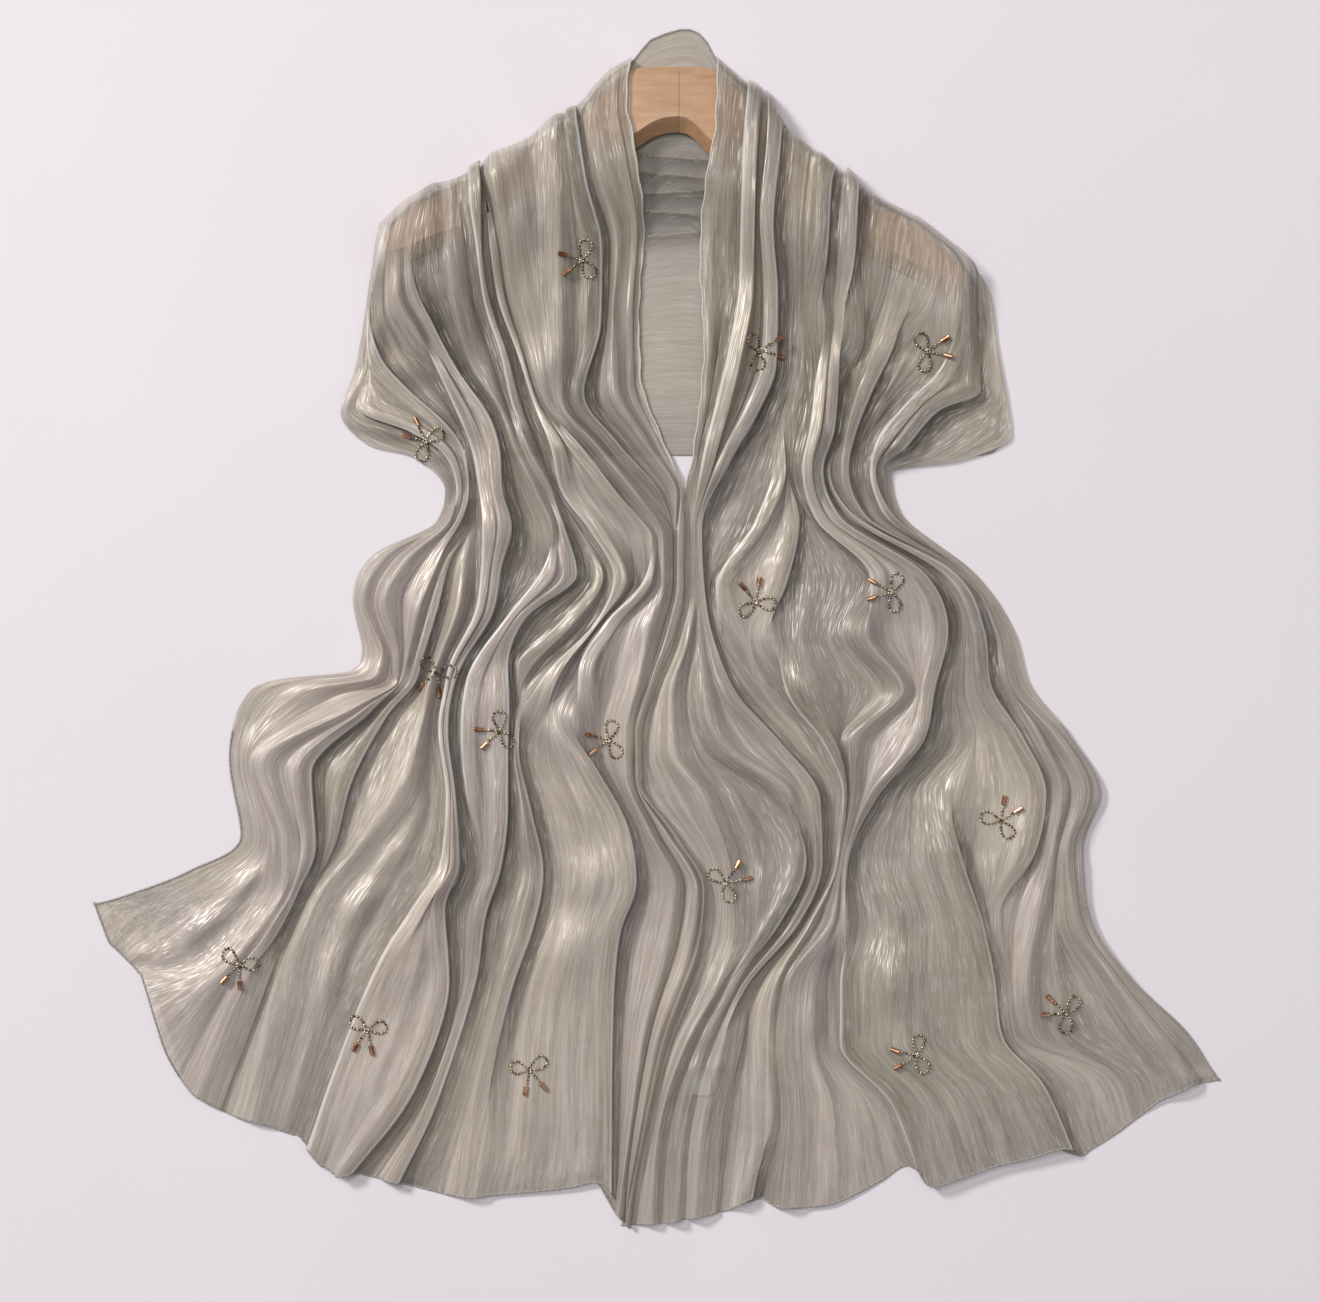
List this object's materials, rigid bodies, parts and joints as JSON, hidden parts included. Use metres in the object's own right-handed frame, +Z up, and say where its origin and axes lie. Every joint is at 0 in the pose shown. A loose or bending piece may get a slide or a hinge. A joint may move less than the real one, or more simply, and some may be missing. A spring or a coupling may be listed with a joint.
{
  "type": "hijab shawl draped on a coat hanger",
  "caption": "Long sheer organza hijab shawl passed behind a plain wooden coat hanger, over its shoulders and down the front in deep wavy folds, laid flat.",
  "frame": {"origin": "centre of the outline, on the surface that the shawl lies on", "axes": "+X towards the viewer's right, +Y towards the collar and away from the hem, +Z up from the surface, through the cloth"},
  "size_m": [0.864, 0.92, 0.0271],
  "materials": {
    "organza": "sheer shimmering satin organza, olive grey with silver streaks",
    "wood": "pale lacquered beech",
    "label_tape": "bare satin tape"
  },
  "bodies": {
    "root": {"back_stretch": "organza", "left_front": "organza", "right_front": "organza", "hanger_left": "wood", "hanger_right": "wood", "care_label": "label_tape"}
  },
  "joints": []
}
